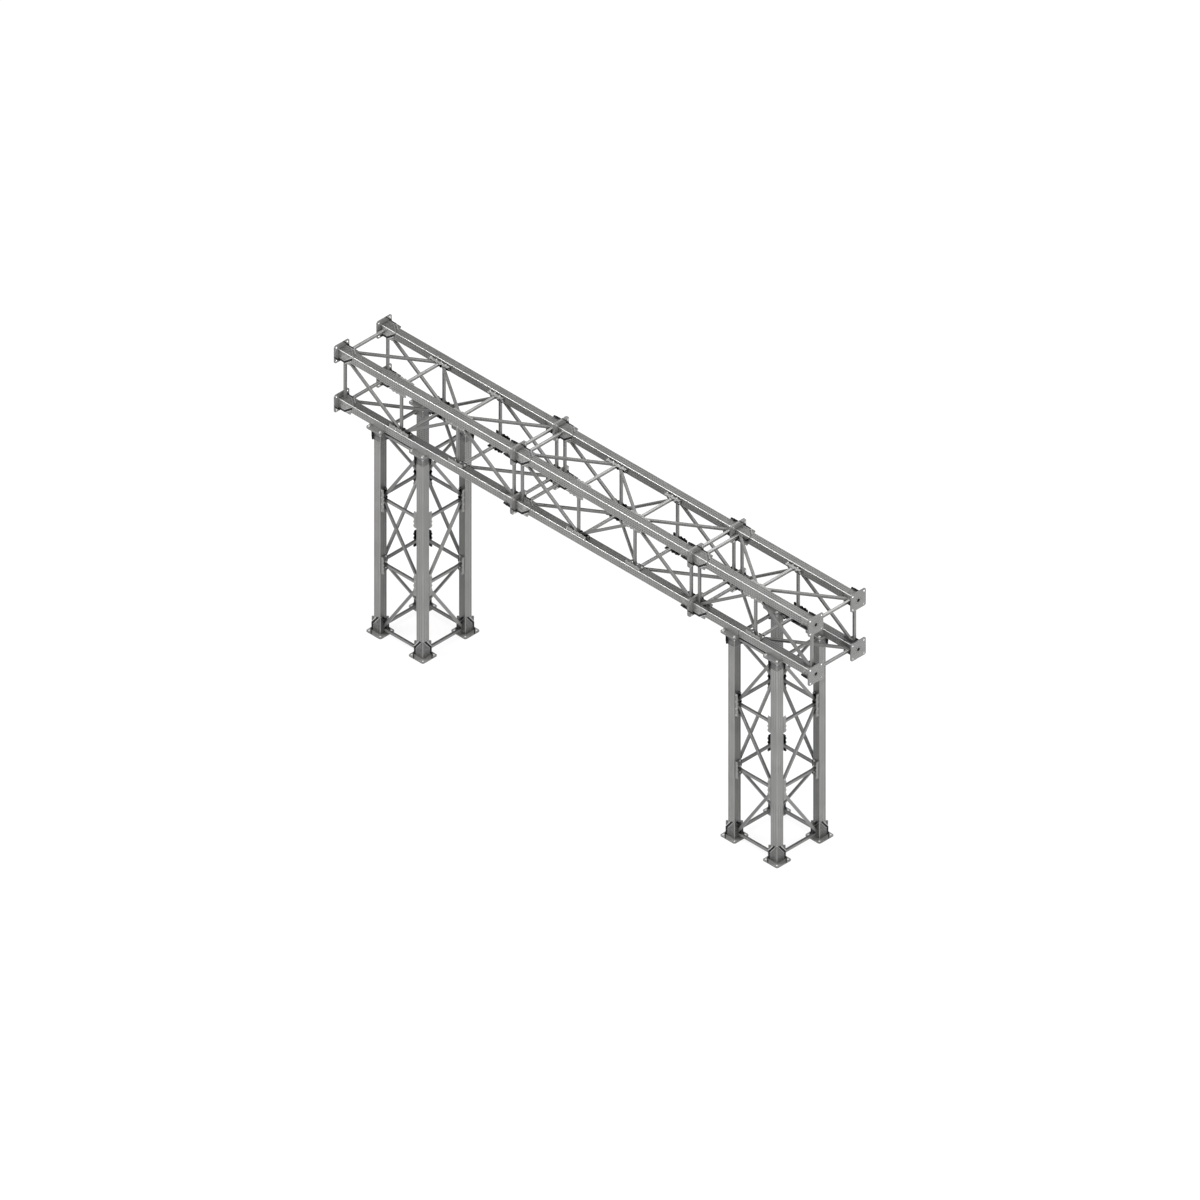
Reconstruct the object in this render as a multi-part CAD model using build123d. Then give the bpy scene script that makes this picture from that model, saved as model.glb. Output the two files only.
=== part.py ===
from build123d import *
import os

os.makedirs("parts", exist_ok=True)

# Pipe bridge, millimetres. X runs along the bridge, Y across it, Z up.
# The origin is on the floor below the middle of the bridge.

# ---- driving sizes ----------------------------------------------------------
girder_side = 93.0             # square girder, outside
girder_wall = 3.0
girder_corner_r = 6.0
row_spacing = 600.0            # centre to centre of the girders, both ways
truss_lengths = [2500.0, 2500.0, 1700.0]
truss_bays = [3, 3, 2]
tower_height = 2500.0          # floor to the top of the tower head plates
tower_bays = 3
tower_frames = [0, 2]          # the frames that stand on a tower, below their second cross bars
station_offset = 58.0          # end of a frame to its first cross bar

brace_width = 30.0             # channel bars of the lattices
brace_depth = 28.0
brace_wall = 2.5
diagonal_gap = 31.0            # cross bar to diagonal, between their middles at the brackets

shoe_plate = 4.0               # folded plates that grip the girder ends
shoe_cover = 4.0               # raised middle of those plates
shoe_fold_r = 6.0
shoe_outer_length = 204.0      # at the fold
shoe_shoulder_length = 181.0   # where the chamfer starts
shoe_inner_length = 170.0
shoe_short_length = 135.0
shoe_fin = 29.0                # how far the clamped edges stand past the girder
shoe_chamfer_across = 67.0
shoe_chamfer_along = 87.0
shoe_corner_r = 18.0

end_plate_side = 210.0
end_plate_thickness = 12.0
end_plate_corner_r = 22.0
end_bolt_spacing = 158.0
end_bolt_hole_d = 18.0
end_centre_hole_d = 26.0

node_flange_width = 60.0       # small brackets between lattice and girder
node_short_reach = 60.0
node_long_reach = 135.0
node_gusset_height = 34.0
node_gusset_thickness = 4.0
node_chamfer = 16.0

saddle_length = 208.0          # trays that hold the bridge on the towers
saddle_height = 84.0
saddle_thickness = 5.0

# ---- sizes that follow ------------------------------------------------------
half_girder = girder_side / 2
seat = shoe_plate + shoe_cover
half_row = row_spacing / 2
bridge_length = sum(truss_lengths)
bridge_start = -bridge_length / 2
low_chord_z = tower_height + saddle_thickness + half_girder
high_chord_z = low_chord_z + row_spacing
clear_span = row_spacing - girder_side


def add(shape, *more):
    """Fuse pieces into one shape."""
    for piece in more:
        shape = shape + piece
    return shape


def save(name, solids):
    """Write one node, made of solids that stay apart."""
    if len(solids) == 1:
        shape = solids[0]
    else:
        shape = Compound(children=solids)
    export_step(shape, "parts/" + name + ".step")


def block(x0, x1, y0, y1, z0, z1):
    """A plain block between two corners."""
    size_x = x1 - x0
    size_y = y1 - y0
    size_z = z1 - z0
    return Pos((x0 + x1) / 2, (y0 + y1) / 2, (z0 + z1) / 2) * Box(size_x, size_y, size_z)


def as_solid(shape):
    """The only solid of a shape."""
    return shape.solids()[0]


def girder(length):
    """A square hollow girder standing on its end at the origin."""
    inner_r = max(girder_corner_r - girder_wall, 0.5)
    inner_side = girder_side - 2 * girder_wall
    section = RectangleRounded(girder_side, girder_side, girder_corner_r)
    section = section - RectangleRounded(inner_side, inner_side, inner_r)
    return as_solid(extrude(section, length))


def end_plate():
    """A bolted end plate lying on the origin, with four corner holes and a middle hole."""
    outline = RectangleRounded(end_plate_side, end_plate_side, end_plate_corner_r)
    offset = end_bolt_spacing / 2
    for sx in (-1, 1):
        for sy in (-1, 1):
            outline = outline - Pos(sx * offset, sy * offset) * Circle(end_bolt_hole_d / 2)
    outline = outline - Circle(end_centre_hole_d / 2)
    return as_solid(extrude(outline, end_plate_thickness))


def shoe_outline():
    """Side of an outer shoe, fold to fin, with the top falling to a chamfer at the fin."""
    near = -half_girder - shoe_plate
    far = half_girder + shoe_fin
    points = [
        (near, 0),
        (far, 0),
        (far, shoe_shoulder_length - shoe_chamfer_along),
        (far - shoe_chamfer_across, shoe_shoulder_length),
        (near, shoe_outer_length),
    ]
    return make_face(Polyline(*points, close=True))


def cover_outline():
    """Raised middle of that side: the same shape kept one fin width from the free edges."""
    near = -half_girder - seat
    far = half_girder + shoe_fin
    slant = (shoe_chamfer_across ** 2 + shoe_chamfer_along ** 2) ** 0.5
    step_in = shoe_fin * shoe_chamfer_along / slant
    step_down = shoe_fin * shoe_chamfer_across / slant
    low_x = far - step_in
    low_z = shoe_shoulder_length - shoe_chamfer_along - step_down
    steep = shoe_chamfer_along / shoe_chamfer_across
    edge_z = low_z + (low_x - half_girder) * steep
    fold_x = -half_girder - shoe_plate
    shoulder_x = far - shoe_chamfer_across
    fall = (shoe_outer_length - shoe_shoulder_length) / (shoulder_x - fold_x)
    # where the inset chamfer meets the top edge
    top_x = (shoe_outer_length + fall * fold_x - edge_z - steep * half_girder) / (fall - steep)
    top_z = edge_z + (half_girder - top_x) * steep
    points = [
        (near, 0),
        (half_girder, 0),
        (half_girder, edge_z),
        (top_x, top_z),
        (near, shoe_outer_length),
    ]
    return make_face(Polyline(*points, close=True))


def folded_sheet(outline, inner, thickness, reach, height, fold_r):
    """A sheet folded round the +X -Y corner at distance inner, both sides cut to an outline."""
    outer = inner + thickness
    points = [
        (outer, -outer),
        (outer, reach),
        (inner, reach),
        (inner, -inner),
        (-reach, -inner),
        (-reach, -outer),
    ]
    profile = make_face(Polyline(*points, close=True))
    if fold_r > 0:
        corner = profile.vertices().sort_by(lambda v: v.X - v.Y)[-1]
        profile = fillet(corner, fold_r)
    sheet = extrude(profile, height)
    spare = thickness + reach
    around_x = block(inner, outer, -outer - spare, reach + spare, -spare, height + spare)
    around_y = block(-reach - spare, outer + spare, -outer, -inner, -spare, height + spare)
    plane_x = Plane(origin=(inner, 0, 0), x_dir=(0, 1, 0), z_dir=(1, 0, 0))
    plane_y = Plane(origin=(0, -inner, 0), x_dir=(-1, 0, 0), z_dir=(0, 1, 0))
    keep_x = extrude(plane_x * outline, thickness)
    keep_y = extrude(plane_y * outline, -thickness)
    return sheet - (around_x - keep_x) - (around_y - keep_y)


def shoe_outer():
    """Angle folded round the +X -Y corner of a standing girder, with two chamfered fins."""
    far = half_girder + shoe_fin
    top = shoe_outer_length
    middle = half_girder + shoe_plate
    fins = folded_sheet(shoe_outline(), half_girder, shoe_plate, far, top, 0)
    cover = folded_sheet(cover_outline(), middle, shoe_cover, half_girder, top, shoe_fold_r)
    return as_solid(fins + cover)


def shoe_inner(top):
    """Angle folded round the -X +Y corner, with edges turned out to lie on the outer fins."""
    h = half_girder
    s = seat
    f = half_girder + shoe_fin
    lip = min(shoe_plate, half_girder / 2)
    r = min(shoe_corner_r, shoe_fin - seat - 1)
    wall_x = block(-h - s, -h, -h, h + s, 0, top)
    wall_y = block(-h - s, h, h, h + s, 0, top)
    lip_x = block(-f, -h, -h, -h + lip, 0, top)
    lip_y = block(h - lip, h, h, f, 0, top)
    lip_x = fillet(lip_x.edges().filter_by(Axis.Y).group_by(Axis.Z)[-1].sort_by(Axis.X)[0], r)
    lip_y = fillet(lip_y.edges().filter_by(Axis.X).group_by(Axis.Z)[-1].sort_by(Axis.Y)[-1], r)
    walls = wall_x + wall_y
    uprights = walls.edges().filter_by(Axis.Z)
    walls = fillet(uprights.sort_by(lambda e: e.center().X - e.center().Y)[0], shoe_fold_r)
    return as_solid(add(walls, lip_x, lip_y))


def channel_bar(x0, y0, x1, y1):
    """A channel bar in the XY plane between two points, its open side turned to -Z."""
    start = Vector(x0, y0, 0)
    finish = Vector(x1, y1, 0)
    run = finish - start
    outside = Pos(0, 0) * Rectangle(brace_width, brace_depth)
    slot_width = brace_width - 2 * brace_wall
    slot_depth = brace_depth - brace_wall
    slot = Pos(0, -brace_wall / 2) * Rectangle(slot_width, slot_depth)
    section = outside - slot
    across = Vector(0, 0, 1).cross(run.normalized())
    plane = Plane(origin=start, x_dir=across, z_dir=run.normalized())
    return extrude(plane * section, run.length)


def node_bracket(x, edge, before, after):
    """A bracket on a girder face at height edge: a strip on the girder and a gusset."""
    toward = -1 if edge > 0 else 1
    half_flange = node_flange_width / 2
    base = edge
    inner = edge + toward * seat
    tip = edge + toward * (seat + node_gusset_height)
    y0 = min(base, inner)
    y1 = max(base, inner)
    strip = block(x - before, x + after, y0, y1, -half_flange, half_flange)
    points = [
        (x - before, base),
        (x - before, tip - toward * node_chamfer),
        (x - before + node_chamfer, tip),
        (x + after - node_chamfer, tip),
        (x + after, tip - toward * node_chamfer),
        (x + after, base),
    ]
    gusset_plane = Plane.XY.offset(-brace_depth / 2 - node_gusset_thickness)
    gusset = extrude(gusset_plane * make_face(Polyline(*points, close=True)), node_gusset_thickness)
    return strip + gusset


def end_gusset(x, edge, reach_after):
    """A gusset at a frame end, where the bars meet the shoe itself."""
    toward = -1 if edge > 0 else 1
    base = edge + toward * seat
    tip = base + toward * node_gusset_height
    half_bar = brace_width / 2
    points = [
        (x - half_bar, base),
        (x - half_bar, tip),
        (x + reach_after - node_chamfer, tip),
        (x + reach_after, tip - toward * node_chamfer),
        (x + reach_after, base),
    ]
    gusset_plane = Plane.XY.offset(-brace_depth / 2 - node_gusset_thickness)
    return extrude(gusset_plane * make_face(Polyline(*points, close=True)), node_gusset_thickness)


def lattice(length, bays, first_rises):
    """One flat lattice along X from 0 to length, centred on Y, open sides turned to -Z.

    first_rises says whether the first diagonal climbs towards +Y. They alternate after it.
    """
    half_span = clear_span / 2
    bar_end = half_span - seat
    bay = (length - 2 * station_offset) / bays
    clip = block(0, length, -bar_end, bar_end, -brace_depth, brace_depth)
    pieces = []
    touching = {}
    for index in range(bays + 1):
        x = station_offset + index * bay
        pieces.append(channel_bar(x, -bar_end, x, bar_end))
    for index in range(bays):
        left = station_offset + index * bay
        right = left + bay
        rises = first_rises == (index % 2 == 0)
        sign = 1 if rises else -1
        start, finish = left + diagonal_gap, right - diagonal_gap
        diagonal = channel_bar(start, -sign * bar_end, finish, sign * bar_end)
        pieces.append(diagonal & clip)
        touching[(index, -sign, "after")] = True
        touching[(index + 1, sign, "before")] = True
    for index in range(bays + 1):
        x = station_offset + index * bay
        for side in (-1, 1):
            before = touching.get((index, side, "before"), False)
            after = touching.get((index, side, "after"), False)
            edge = side * half_span
            if index == 0:
                if after:
                    pieces.append(end_gusset(x, edge, node_long_reach))
            elif index == bays:
                if before:
                    mirrored = mirror(end_gusset(-x, edge, node_long_reach), about=Plane.YZ)
                    pieces.append(mirrored)
            else:
                reach_before = node_long_reach if before else node_short_reach
                reach_after = node_long_reach if after else node_short_reach
                pieces.append(node_bracket(x, edge, reach_before, reach_after))
    whole = pieces[0].fuse(*pieces[1:])
    return as_solid(whole)


# ---- placing helpers --------------------------------------------------------
# Each says where the height and the folded corner of a standing piece go.
lie_forward = Plane(origin=(0, 0, 0), x_dir=(0, -1, 0), z_dir=(1, 0, 0)).location
lie_backward = Plane(origin=(0, 0, 0), x_dir=(0, 0, -1), z_dir=(-1, 0, 0)).location
hang_down = Plane(origin=(0, 0, 0), x_dir=(0, 1, 0), z_dir=(0, 0, -1)).location
stand_across_x = Plane(origin=(0, 0, 0), x_dir=(0, 0, 1), z_dir=(0, 1, 0)).location
stand_across_y = Plane(origin=(0, 0, 0), x_dir=(0, 0, 1), z_dir=(-1, 0, 0)).location


def at(x, y, z, shape):
    """Move a shape."""
    return Pos(x, y, z) * shape


chord_rows = [
    ("low", -half_row, low_chord_z),
    ("low", half_row, low_chord_z),
    ("high", -half_row, high_chord_z),
    ("high", half_row, high_chord_z),
]

standing_outer = shoe_outer()
standing_inner = shoe_inner(shoe_inner_length)
standing_short = shoe_inner(shoe_short_length)
plate_shape = end_plate()

# ---- bridge frames ----------------------------------------------------------
mid_z = (low_chord_z + high_chord_z) / 2
start = bridge_start
for number, (frame_length, bays) in enumerate(zip(truss_lengths, truss_bays), 1):
    prefix = "frame" + str(number)
    finish = start + frame_length
    near_x = start + end_plate_thickness
    far_x = finish - end_plate_thickness
    plates = []
    outers = []
    inners = []
    chords = {"low": [], "high": []}
    for row, y, z in chord_rows:
        chord = at(near_x, y, z, lie_forward * girder(far_x - near_x))
        chords[row].append(as_solid(chord))
        plates.append(as_solid(at(start, y, z, lie_forward * plate_shape)))
        plates.append(as_solid(at(far_x, y, z, lie_forward * plate_shape)))
        outers.append(as_solid(at(near_x, y, z, lie_forward * standing_outer)))
        outers.append(as_solid(at(far_x, y, z, lie_backward * standing_outer)))
        inners.append(as_solid(at(near_x, y, z, lie_forward * standing_inner)))
        inners.append(as_solid(at(far_x, y, z, lie_backward * standing_short)))
    save(prefix + "_chords_low", chords["low"])
    save(prefix + "_chords_high", chords["high"])
    save(prefix + "_end_plates", plates)
    save(prefix + "_shoes_outer", outers)
    save(prefix + "_shoes_inner", inners)
    # the last diagonal of every frame falls on the sides and climbs on the top and bottom
    side = lattice(frame_length, bays, bays % 2 == 0)
    flat = lattice(frame_length, bays, bays % 2 == 1)
    side_turned = mirror(side, about=Plane.XY)
    flat_turned = mirror(flat, about=Plane.XY)
    save(prefix + "_lattice_front", [as_solid(at(start, -half_row, mid_z, Rot(90, 0, 0) * side))])
    save(prefix + "_lattice_back", [as_solid(at(start, half_row, mid_z, Rot(90, 0, 0) * side_turned))])
    save(prefix + "_lattice_top", [as_solid(at(start, 0, high_chord_z, flat))])
    save(prefix + "_lattice_bottom", [as_solid(at(start, 0, low_chord_z, flat_turned))])
    start = finish

# ---- towers -----------------------------------------------------------------
leg_places = [(-1, -1), (1, -1), (-1, 1), (1, 1)]
leg_bottom = end_plate_thickness
leg_top = tower_height - end_plate_thickness
tower_x_side = lattice(tower_height, tower_bays, True)
tower_y_side = lattice(tower_height, tower_bays, False)


def saddle():
    """A tray bolted on a tower head plate, with a wall up each side of the bridge girder."""
    h = half_girder
    t = saddle_thickness
    half = saddle_length / 2
    base = extrude(RectangleRounded(end_plate_side, end_plate_side, end_plate_corner_r), t)
    front_wall = block(-half, half, -h - t, -h, t, t + saddle_height)
    back_wall = block(-half, half, h, h + t, t, t + saddle_height)
    tray = add(base, front_wall, back_wall)
    offset = end_bolt_spacing / 2
    for sx in (-1, 1):
        for sy in (-1, 1):
            tray = tray - Pos(sx * offset, sy * offset, 0) * Cylinder(end_bolt_hole_d / 2, 3 * t)
    return as_solid(tray)


saddle_shape = saddle()

for name, frame_index in zip(("left", "right"), tower_frames):
    prefix = name + "_tower"
    frame_start = bridge_start + sum(truss_lengths[:frame_index])
    bay = (truss_lengths[frame_index] - 2 * station_offset) / truss_bays[frame_index]
    centre_x = frame_start + station_offset + bay
    legs = []
    plates = []
    outers = []
    inners = []
    saddles = []
    for sx, sy in leg_places:
        x = centre_x + sx * half_row
        y = sy * half_row
        legs.append(as_solid(at(x, y, leg_bottom, girder(leg_top - leg_bottom))))
        plates.append(as_solid(at(x, y, 0, plate_shape)))
        plates.append(as_solid(at(x, y, leg_top, plate_shape)))
        outers.append(as_solid(at(x, y, leg_bottom, standing_outer)))
        outers.append(as_solid(at(x, y, leg_top, hang_down * standing_outer)))
        inners.append(as_solid(at(x, y, leg_bottom, standing_inner)))
        inners.append(as_solid(at(x, y, leg_top, hang_down * standing_short)))
        saddles.append(as_solid(at(x, y, tower_height, saddle_shape)))
    save(prefix + "_legs", legs)
    save(prefix + "_end_plates", plates)
    save(prefix + "_shoes_outer", outers)
    save(prefix + "_shoes_inner", inners)
    save(prefix + "_saddles", saddles)
    x_turned = mirror(tower_x_side, about=Plane.XY)
    y_turned = mirror(tower_y_side, about=Plane.XY)
    front = at(centre_x, -half_row, 0, stand_across_x * x_turned)
    back = at(centre_x, half_row, 0, stand_across_x * tower_x_side)
    left = at(centre_x - half_row, 0, 0, stand_across_y * tower_y_side)
    right = at(centre_x + half_row, 0, 0, stand_across_y * y_turned)
    save(prefix + "_lattice_front", [as_solid(front)])
    save(prefix + "_lattice_back", [as_solid(back)])
    save(prefix + "_lattice_left", [as_solid(left)])
    save(prefix + "_lattice_right", [as_solid(right)])
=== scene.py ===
import bpy
import math
from itertools import product
import numpy as np
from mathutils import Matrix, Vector


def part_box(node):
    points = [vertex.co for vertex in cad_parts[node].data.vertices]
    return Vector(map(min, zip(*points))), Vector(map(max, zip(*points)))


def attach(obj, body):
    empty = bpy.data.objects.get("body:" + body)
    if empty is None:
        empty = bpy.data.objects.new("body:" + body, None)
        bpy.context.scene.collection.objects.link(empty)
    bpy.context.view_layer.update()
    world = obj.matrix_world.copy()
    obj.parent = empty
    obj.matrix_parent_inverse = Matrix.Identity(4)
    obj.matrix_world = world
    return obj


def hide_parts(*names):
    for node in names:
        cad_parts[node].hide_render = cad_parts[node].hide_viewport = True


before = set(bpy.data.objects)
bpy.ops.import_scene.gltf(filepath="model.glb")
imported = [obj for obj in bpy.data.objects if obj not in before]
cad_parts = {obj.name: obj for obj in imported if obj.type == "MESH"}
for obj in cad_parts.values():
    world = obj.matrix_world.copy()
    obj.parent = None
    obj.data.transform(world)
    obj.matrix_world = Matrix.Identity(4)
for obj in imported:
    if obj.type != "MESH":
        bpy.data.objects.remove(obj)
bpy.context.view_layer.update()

# ---- Girders ----------------------------------------------------------------
# Square hollow girders, roll-formed from 3 mm steel strip that was perforated in three rows
# before it was formed, then hot-dip galvanised. They are the chords of the three frames and
# the legs of the two towers, and every face has the same holes, so a bracket fits anywhere.
girder_side = 0.093
girder_wall = 0.003
row_spacing = 0.6
half_girder = girder_side / 2
half_row = row_spacing / 2
rows = (-half_row, half_row)
hole_pitch = 0.025
hole_radius = 0.0048
hole_rows = 3
zinc_light = (0.335, 0.335, 0.329)
zinc_dark = (0.205, 0.205, 0.2)
leg_light = (0.375, 0.375, 0.368)
corner_highlight_zinc = (0.80, 0.80, 0.79)
painted_shade_grey = (0.04, 0.04, 0.039)
hole_shade = (0.02, 0.02, 0.021)


def leading(operation):
    """A method: the Math node of that operation on this wire first, then any other value."""
    return lambda self, *others: self.maths(operation, self, *others)


def trailing(operation):
    """A method: the Math node of that operation on the other value first, then this wire."""
    return lambda self, other: self.maths(operation, other, self)


class Wire:
    """An output socket of a node, so that shader maths reads as a formula of numbers and wires."""

    __add__, __radd__ = leading("ADD"), trailing("ADD")
    __sub__, __rsub__ = leading("SUBTRACT"), trailing("SUBTRACT")
    __mul__, __rmul__ = leading("MULTIPLY"), trailing("MULTIPLY")
    __lt__, __gt__ = leading("LESS_THAN"), leading("GREATER_THAN")
    __abs__, sign, root = leading("ABSOLUTE"), leading("SIGN"), leading("SQRT")
    most, least = leading("MAXIMUM"), leading("MINIMUM")

    def __init__(self, finish, socket):
        self.finish = finish
        self.socket = socket

    def maths(self, operation, *values):
        """A Math node on the values, one of which may be this wire."""
        inputs = dict(enumerate(values))
        return self.finish.node("ShaderNodeMath", {"operation": operation}, inputs)

    def across_from(self, other):
        """Long side of the right-angled triangle on the two: root of (self squared + other squared)."""
        return (self * self + other * other).root()

    def in_cell(self, pitch):
        """Distance from the middle of its cell, when cells of that pitch are centred on 0."""
        return self.maths("WRAP", self, pitch / 2, -pitch / 2)

    def slope(self, low, high):
        """0 at low and 1 at high, straight between them and level beyond; low may be the higher."""
        return self.finish.node("ShaderNodeMapRange", {"clamp": True}, {0: self, 1: low, 2: high})


class Finish:
    """A material in the making: node() adds any node and metal() ends it with a metal surface."""

    def __init__(self, name):
        self.material = bpy.data.materials.new(name)
        self.material.use_nodes = True
        self.tree = self.material.node_tree
        self.tree.nodes.clear()
        self.place = self.node("ShaderNodeTexCoord", {}, {}, "Object")
        self.facing = self.node("ShaderNodeTexCoord", {}, {}, "Normal")
        self.lengthways = self.node("ShaderNodeTexCoord", {}, {}, "UV")

    def node(self, kind, settings, inputs, output=0):
        """Adds a node, gives it its settings, then sets or links its inputs; returns one output."""
        made = self.tree.nodes.new(kind)
        for key, value in settings.items():
            setattr(made, key, value)
        for key, value in inputs.items():
            socket = made.inputs[key]
            if isinstance(value, Wire):
                self.tree.links.new(value.socket, socket)
            elif socket.type == "RGBA":
                socket.default_value = (*value, 1.0)
            else:
                socket.default_value = value
        if len(made.outputs) == 0:
            return None
        return Wire(self, made.outputs[output])

    def axes(self, vector):
        """The X, Y and Z parts of a vector wire."""
        return [self.node("ShaderNodeSeparateXYZ", {}, {0: vector}, letter) for letter in "XYZ"]

    def blend(self, factor, first, second):
        """Colour first where factor is 0, second where it is 1."""
        inputs = {0: factor, 6: first, 7: second}
        return self.node("ShaderNodeMix", {"data_type": "RGBA"}, inputs, 2)

    def noise(self, vector, scale, detail=2.0):
        """A smooth random value about 0.5, in lumps of about 1/scale metres."""
        inputs = {"Vector": vector, "Scale": scale, "Detail": detail}
        return self.node("ShaderNodeTexNoise", {}, inputs)

    def metal(self, colour, rough, metallic, height=None, relief=0.001, glow=None):
        """Ends the material with a metal surface; its bumps are height times relief metres high."""
        inputs = {"Base Color": colour, "Roughness": rough, "Metallic": metallic}
        inputs["Specular IOR Level"] = 0.2
        if glow is not None:
            inputs["Emission Color"] = glow
            inputs["Emission Strength"] = 1.0
        if height is not None:
            bump = {"Strength": 1.0, "Distance": relief, "Height": height}
            inputs["Normal"] = self.node("ShaderNodeBump", {}, bump)
        surface = self.node("ShaderNodeBsdfPrincipled", {}, inputs)
        self.node("ShaderNodeOutputMaterial", {}, {"Surface": surface})
        return self.material

    def zinc(self, light, dark, streaks=(1.0, 1.0, 1.0)):
        """The grey of hot-dip zinc and its sheen: a frost of 9 mm crystals on broad soft clouds.

        tone = 0.5 crystal + 0.35 cloud + 0.15 streak, and the colour goes from dark to light with it.
        rough = 0.34 + 0.14 crystal + 0.1 cloud, so single crystals catch the light in turn.
        Streaks are noise drawn out along an axis by squeezing the place by a factor along each.
        """
        frost = self.node("ShaderNodeTexVoronoi", {}, {"Vector": self.place, "Scale": 110.0}, "Color")
        crystal = self.axes(frost)[0]
        cloud = self.noise(self.place, 4.0, 4.0)
        squeezed = self.node("ShaderNodeMapping", {}, {"Vector": self.place, "Scale": streaks})
        streak = self.noise(squeezed, 60.0, 3.0)
        tone = 0.5 * crystal + 0.35 * cloud.slope(0.3, 0.7) + 0.15 * streak.slope(0.3, 0.7)
        colour = self.blend(tone, dark, light)
        rough = 0.34 + 0.14 * crystal + 0.1 * cloud
        return colour, rough, crystal, streak


def offset_side(value, centre):
    """1 on the positive side of the middle plane at centre and -1 on the other."""
    return (value - centre).sign()


def signed_offset(value, centre, half):
    """Distance from the nearer of two lines at centre - half and centre + half, with its sign."""
    return value - centre - half * offset_side(value, centre)


def by_rows(finish, lengthwise, centre):
    """Place, facing, the two cross axes, and along each of those the offset from the nearer row."""
    place = finish.axes(finish.place)
    facing = finish.axes(finish.facing)
    first, second = [axis for axis in range(3) if axis != lengthwise]
    u = signed_offset(place[first], centre[first], half_row)
    v = signed_offset(place[second], centre[second], half_row)
    return place, facing, first, second, u, v


def drawn_out(lengthwise, along, across):
    """Factors that squeeze a pattern less along one axis than across it."""
    return tuple(along if axis == lengthwise else across for axis in range(3))


def coat(node_name, finish):
    """Gives a CAD piece that one finish."""
    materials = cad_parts[node_name].data.materials
    materials.clear()
    materials.append(finish)


def round_holes(along, across):
    """Masks of a grid of round holes: 1 inside a hole, and 1 inside its pressed rim.

    r = root of (along in its cell squared + across in its cell squared), kept to hole_rows rows.
    """
    r = along.in_cell(hole_pitch).across_from(across.in_cell(hole_pitch))
    in_rows = abs(across) < hole_rows * hole_pitch / 2
    hole = r.slope(hole_radius + 0.0004, hole_radius - 0.0004) * in_rows
    rim = r.slope(hole_radius + 0.0018, hole_radius) * in_rows
    return hole, rim


def girder_finish(name, lengthwise, centre, light):
    """Perforated zinc for girders that run along one axis, on lines half_row either side of centre.

    On a face, the row of a hole is counted along the axis that is neither the girder's own nor
    the face's, so the two cross axes are mixed by how squarely the face points along each.
    """
    finish = Finish(name)
    place, facing, first, second, u, v = by_rows(finish, lengthwise, centre)
    faces_first = abs(facing[first]) > 0.7
    across = faces_first * v + (1 - faces_first) * u
    hole, rim = round_holes(place[lengthwise], across)
    streaks = drawn_out(lengthwise, 0.6, 14.0)
    colour, rough, crystal, streak = finish.zinc(light, zinc_dark, streaks)
    # painted shade: the faces that look into the frame are painted a darker grey, as the rest of the
    # frame shades them
    inward = [offset_side(place[i], centre[i]) * facing[i] < -0.7 for i in (first, second)]
    colour = finish.blend(inward[0].most(inward[1]) * 0.34, colour, painted_shade_grey)
    # painted shade: the faces that look up are painted darker
    colour = finish.blend(facing[2].slope(0.6, 0.8) * 0.36, colour, painted_shade_grey)
    # painted highlight: the rolled corners are painted bright, strongly on the chords and faintly on
    # the legs
    corner = abs(u).least(abs(v)).slope(half_girder - 0.005, half_girder - 0.003)
    highlight_share = 0.8 if lengthwise == 0 else 0.1
    colour = finish.blend(corner * highlight_share, colour, corner_highlight_zinc)
    # no light gets into the girder, so its inside is as dark as the holes
    inside = abs(u).most(abs(v)) < half_girder - girder_wall / 2
    dark = hole.most(inside)
    colour = finish.blend(dark, colour, hole_shade)
    rough = rough - 0.12 * corner + 0.3 * dark
    height = 0.06 * crystal + 0.05 * streak - 0.8 * rim - 1.2 * hole
    return finish.metal(colour, rough, 0.88 - 0.8 * dark, height, 0.0012)


truss_middle = (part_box("frame1_chords_low")[0].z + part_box("frame1_chords_high")[1].z) / 2
truss_line = (0.0, 0.0, truss_middle)
chord_finish = girder_finish("perforated_chord", 0, truss_line, zinc_light)
frames = ("frame1", "frame2", "frame3")
for frame_name in frames:
    for row in ("low", "high"):
        coat(frame_name + "_chords_" + row, chord_finish)

towers = ("left_tower", "right_tower")
middle_line = {}
for tower in towers:
    low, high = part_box(tower + "_legs")
    middle_line[tower] = ((low.x + high.x) / 2, 0.0, 0.0)
    leg_finish = girder_finish("perforated_" + tower, 2, middle_line[tower], leg_light)
    coat(tower + "_legs", leg_finish)

# ---- End plates -------------------------------------------------------------
# 12 mm plates, flame-cut with round corners and welded square to the girder ends. Four bolts
# join two of them; the feet and heads of the towers have the same plates. They are smoother
# than the girders, so they mirror what stands on them.
plate_thickness = 0.012
plate_half = 0.105
plate_light = (0.30, 0.30, 0.296)
plate_dark = (0.205, 0.205, 0.202)
flame_cut = (0.10, 0.10, 0.098)
middle_hole = 0.013
bolt_hole = 0.009
bolt_offset = 0.079
ring_radius = 0.036
ring_hole = 0.0035
ring_count = 8
corner_cut = 0.1305
corner_line = 0.008
inward_lit_grey = (0.31, 0.31, 0.305)
shoe_reflection_grey = (0.215, 0.213, 0.206)
bolt_hole_light = (0.85, 0.85, 0.84)
worn_steel = (0.22, 0.22, 0.22)


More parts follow.
